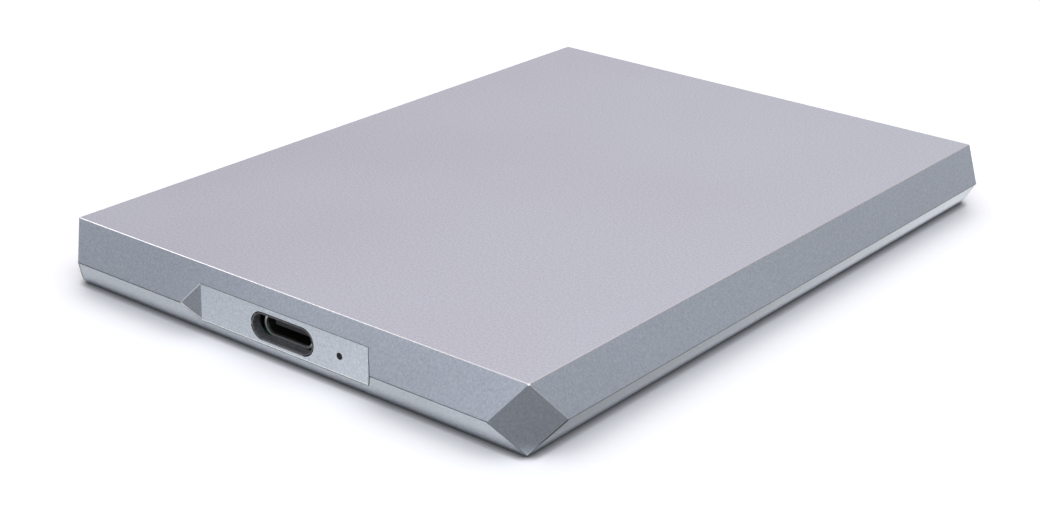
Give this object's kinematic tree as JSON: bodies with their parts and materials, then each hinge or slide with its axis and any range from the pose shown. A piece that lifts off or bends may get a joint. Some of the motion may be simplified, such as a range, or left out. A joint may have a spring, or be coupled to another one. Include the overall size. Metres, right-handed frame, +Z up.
{
  "type": "portable external hard drive",
  "caption": "Slim portable hard drive in a faceted aluminium case with a recessed USB-C port panel and a small status light, its disc pack and head arm modelled inside.",
  "frame": {"origin": "middle of the underside, on the surface that the drive rests on", "axes": "+Z up through the top face, +Y along the long side towards the end without a port, +X to the right when the port panel faces the viewer"},
  "size_m": [0.0878, 0.1214, 0.01],
  "materials": {
    "case_aluminium": "bead-blasted, anodised",
    "black_plastic": "matt moulded",
    "clear_plastic": "clear",
    "rubber": "matt",
    "foam": "foam",
    "tape": "adhesive film",
    "circuit_board": "solder mask",
    "chip_black": "moulded package",
    "led_white": "diffuse",
    "socket_steel": "drawn",
    "gold": "gold plated",
    "screw_steel": "machined",
    "cast_aluminium": "die cast",
    "lid_steel": "stamped sheet",
    "turned_aluminium": "turned",
    "lamination_steel": "laminated",
    "copper": "enamelled wire",
    "disc_mirror": "sputtered mirror",
    "nickel": "nickel plated",
    "slider_ceramic": "lapped",
    "polyimide": "film"
  },
  "bodies": {
    "case": {"top_cover": "case_aluminium", "bottom_cover": "case_aluminium", "carrier_frame": "black_plastic", "port_bezel": "black_plastic", "light_pipe": "clear_plastic", "corner_bumpers": "rubber", "top_pad": "foam", "bottom_pad": "foam", "top_tape": "tape", "bottom_tape": "tape", "bridge_board": "circuit_board", "usb_shell": "socket_steel", "usb_tongue": "black_plastic", "usb_contacts": "gold", "sata_receptacle": "black_plastic", "sata_springs": "gold", "bridge_chip": "chip_black", "flash_chip": "chip_black", "board_parts": "chip_black", "status_led": "led_white", "board_screws": "screw_steel", "disk_base": "cast_aluminium", "disk_lid": "lid_steel", "lid_gasket": "rubber", "lid_screws": "screw_steel", "disk_board": "circuit_board", "disk_board_chips": "chip_black", "disk_board_screws": "screw_steel", "sata_plug": "black_plastic", "sata_blades": "gold", "bearing_sleeve": "screw_steel", "stator_core": "lamination_steel", "stator_coils": "copper", "pivot_post": "screw_steel", "lower_yoke": "nickel", "upper_yoke": "nickel", "voice_magnets": "nickel", "yoke_posts": "screw_steel", "crash_stops": "rubber", "load_ramp": "black_plastic", "flex_bracket": "black_plastic", "flex_cable": "polyimide", "air_filter": "foam", "breather_filter": "foam"},
    "rotor": {"spindle_hub": "turned_aluminium", "spindle_shaft": "screw_steel", "rotor_magnet": "nickel", "lower_disc": "disc_mirror", "disc_spacer": "turned_aluminium", "upper_disc": "disc_mirror", "disc_clamp": "lid_steel", "clamp_screw": "screw_steel"},
    "actuator": {"pivot_sleeve": "screw_steel", "actuator_block": "turned_aluminium", "voice_coil": "copper", "head_suspensions": "lid_steel", "head_sliders": "slider_ceramic"}
  },
  "joints": [
    {"name": "spindle_spin", "type": "hinge", "parent": "case", "child": "rotor", "pos_m": [0, 0.01878, 0.005], "axis": [0, 0, 1], "continuous": true},
    {"name": "actuator_swing", "type": "hinge", "parent": "case", "child": "actuator", "pos_m": [0.0195, -0.02323, 0.0055], "axis": [0, 0, 1], "range_deg": [0, 38.5]}
  ]
}
